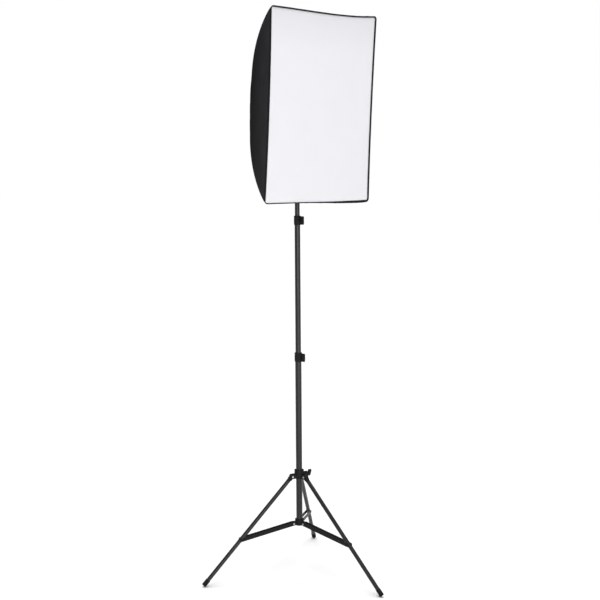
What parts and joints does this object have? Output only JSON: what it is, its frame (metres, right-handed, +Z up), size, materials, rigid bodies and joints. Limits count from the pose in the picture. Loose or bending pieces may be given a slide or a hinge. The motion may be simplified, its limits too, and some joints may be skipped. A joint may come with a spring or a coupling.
{
  "type": "studio softbox on light stand",
  "caption": "Rectangular studio softbox with a white diffuser and black cloth sides, on a tall telescopic light stand with folding tripod legs.",
  "frame": {"origin": "on the floor, under the middle of the whole object's outline", "axes": "+Z up; the softbox faces -Y and a little down, and +X runs along the face's width"},
  "size_m": [0.6967, 0.6884, 2.2064],
  "materials": {
    "black_tube": "satin black enamel",
    "brace_strip": "satin black enamel on flat steel strip",
    "collar_plastic": "fine-grained moulded black",
    "knob_plastic": "fine-grained moulded black",
    "holder_plastic": "fine-grained moulded black",
    "foot_rubber": "soft matt black",
    "steel": "plated",
    "contact_brass": "drawn",
    "socket_ceramic": "glazed white",
    "bulb_white": "moulded white",
    "bulb_opal": "opal white",
    "canopy_cloth": "tight black nylon weave",
    "binding_tape": "ribbed black tape",
    "diffuser_cloth": "translucent white nylon"
  },
  "bodies": {
    "stand_base": {"base_tube": "black_tube", "base_hub": "collar_plastic", "brace_pins": "steel", "mid_lock_collar": "collar_plastic"},
    "leg_collar": {"leg_collar": "collar_plastic", "leg_pins": "steel"},
    "leg_knob": {"leg_knob": "knob_plastic"},
    "leg_1": {"leg_tube_1": "black_tube", "leg_eye_1": "collar_plastic", "leg_foot_1": "foot_rubber"},
    "leg_2": {"leg_tube_2": "black_tube", "leg_eye_2": "collar_plastic", "leg_foot_2": "foot_rubber"},
    "leg_3": {"leg_tube_3": "black_tube", "leg_eye_3": "collar_plastic", "leg_foot_3": "foot_rubber"},
    "brace_1": {"brace_1": "brace_strip"},
    "brace_2": {"brace_2": "brace_strip"},
    "brace_3": {"brace_3": "brace_strip"},
    "mid_section": {"mid_tube": "black_tube", "mid_tube_bush": "collar_plastic", "top_lock_collar": "collar_plastic"},
    "mid_lock_knob": {"mid_lock_knob": "knob_plastic"},
    "top_lock_knob": {"top_lock_knob": "knob_plastic"},
    "top_section": {"top_tube": "black_tube", "top_tube_bush": "collar_plastic", "spigot": "steel"},
    "head_clamp": {"head_clamp": "holder_plastic", "tilt_bolt": "steel", "tilt_nut": "steel"},
    "head_clamp_knob": {"head_clamp_knob": "knob_plastic"},
    "tilt_lever": {"tilt_lever": "knob_plastic"},
    "lamp_head": {"lamp_holder": "holder_plastic", "lamp_socket": "socket_ceramic", "socket_thread": "contact_brass", "socket_contact": "contact_brass", "cord_gland": "holder_plastic", "bulb_cap": "steel", "bulb_housing": "bulb_white", "bulb_dome": "bulb_opal"},
    "shaft_screw": {"shaft_screw": "knob_plastic"},
    "softbox": {"shaft": "steel", "shaft_end_cap": "holder_plastic", "runner": "holder_plastic", "stretchers": "steel", "ribs": "steel", "rib_tips": "holder_plastic", "crown": "holder_plastic", "crown_cap": "holder_plastic", "canopy_top": "canopy_cloth", "canopy_bottom": "canopy_cloth", "canopy_left": "canopy_cloth", "canopy_right": "canopy_cloth", "front_binding": "binding_tape", "diffuser": "diffuser_cloth"}
  },
  "joints": [
    {"name": "leg_collar_slide", "type": "slide", "parent": "stand_base", "child": "leg_collar", "axis": [0, 0, 1], "range_m": [0, 0.34777]},
    {"name": "leg_1_fold", "type": "hinge", "parent": "leg_collar", "child": "leg_1", "pos_m": [0.07094, 0.07893, 0.40576], "axis": [-0.6909, 0.723, 0], "range_deg": [0, 39.12]},
    {"name": "leg_2_fold", "type": "hinge", "parent": "leg_collar", "child": "leg_2", "pos_m": [0.01878, 0.06621, 0.40576], "axis": [-0.2807, -0.9598, 0], "range_deg": [0, 39.12]},
    {"name": "leg_3_fold", "type": "hinge", "parent": "leg_collar", "child": "leg_3", "pos_m": [0.05587, 0.02739, 0.40576], "axis": [0.9715, 0.2368, 0], "range_deg": [0, 39.12]},
    {"name": "brace_1_fold", "type": "hinge", "parent": "stand_base", "child": "brace_1", "pos_m": [0.06805, 0.07617, 0.21], "axis": [0.6909, -0.723, 0], "range_deg": [0, 92.99]},
    {"name": "brace_2_fold", "type": "hinge", "parent": "stand_base", "child": "brace_2", "pos_m": [0.02262, 0.06509, 0.21], "axis": [0.2807, 0.9598, 0], "range_deg": [0, 92.99]},
    {"name": "brace_3_fold", "type": "hinge", "parent": "stand_base", "child": "brace_3", "pos_m": [0.05493, 0.03128, 0.21], "axis": [-0.9715, -0.2368, 0], "range_deg": [0, 92.99]},
    {"name": "mid_tube_slide", "type": "slide", "parent": "stand_base", "child": "mid_section", "axis": [0, 0, 1], "range_m": [-0.5, 0.06]},
    {"name": "top_tube_slide", "type": "slide", "parent": "mid_section", "child": "top_section", "axis": [0, 0, 1], "range_m": [-0.13, 0.25]},
    {"name": "head_swivel", "type": "hinge", "parent": "top_section", "child": "head_clamp", "pos_m": [0.04853, 0.05751, 1.741], "axis": [0, 0, 1], "continuous": true},
    {"name": "head_tilt", "type": "hinge", "parent": "head_clamp", "child": "lamp_head", "pos_m": [0.04853, 0.05751, 1.8235], "axis": [1, 0, 0], "range_deg": [-18, 13]},
    {"name": "shaft_slide", "type": "slide", "parent": "lamp_head", "child": "softbox", "axis": [0, 0.9973, 0.0732], "range_m": [-0.025, 0.025]},
    {"name": "leg_knob_turn", "type": "hinge", "parent": "leg_collar", "child": "leg_knob", "pos_m": [0.07733, 0.04909, 0.41451], "axis": [0.9598, -0.2807, 0], "range_deg": [0, 360]},
    {"name": "mid_lock_knob_turn", "type": "hinge", "parent": "stand_base", "child": "mid_lock_knob", "pos_m": [0.052, 0.03782, 0.891], "axis": [0.1736, -0.9848, 0], "range_deg": [0, 360]},
    {"name": "top_lock_knob_turn", "type": "hinge", "parent": "mid_section", "child": "top_lock_knob", "pos_m": [0.052, 0.03782, 1.433], "axis": [0.1736, -0.9848, 0], "range_deg": [0, 360]},
    {"name": "head_clamp_knob_turn", "type": "hinge", "parent": "head_clamp", "child": "head_clamp_knob", "pos_m": [0.04853, 0.03251, 1.7719], "axis": [0, -1, 0], "range_deg": [0, 360]},
    {"name": "shaft_screw_turn", "type": "hinge", "parent": "lamp_head", "child": "shaft_screw", "pos_m": [0.02853, 0.05422, 1.86838], "axis": [-1, 0, 0], "range_deg": [0, 360]},
    {"name": "tilt_lever_turn", "type": "hinge", "parent": "head_clamp", "child": "tilt_lever", "pos_m": [0.07853, 0.05751, 1.8235], "axis": [1, 0, 0], "range_deg": [-90, 0]}
  ],
  "couplings": [
    {"joint": "leg_1_fold", "follows": "leg_collar_slide", "rad_per_m": 1.9623},
    {"joint": "leg_2_fold", "follows": "leg_collar_slide", "rad_per_m": 1.9623},
    {"joint": "leg_3_fold", "follows": "leg_collar_slide", "rad_per_m": 1.9623},
    {"joint": "brace_1_fold", "follows": "leg_collar_slide", "rad_per_m": 4.6656},
    {"joint": "brace_2_fold", "follows": "leg_collar_slide", "rad_per_m": 4.6656},
    {"joint": "brace_3_fold", "follows": "leg_collar_slide", "rad_per_m": 4.6656}
  ]
}
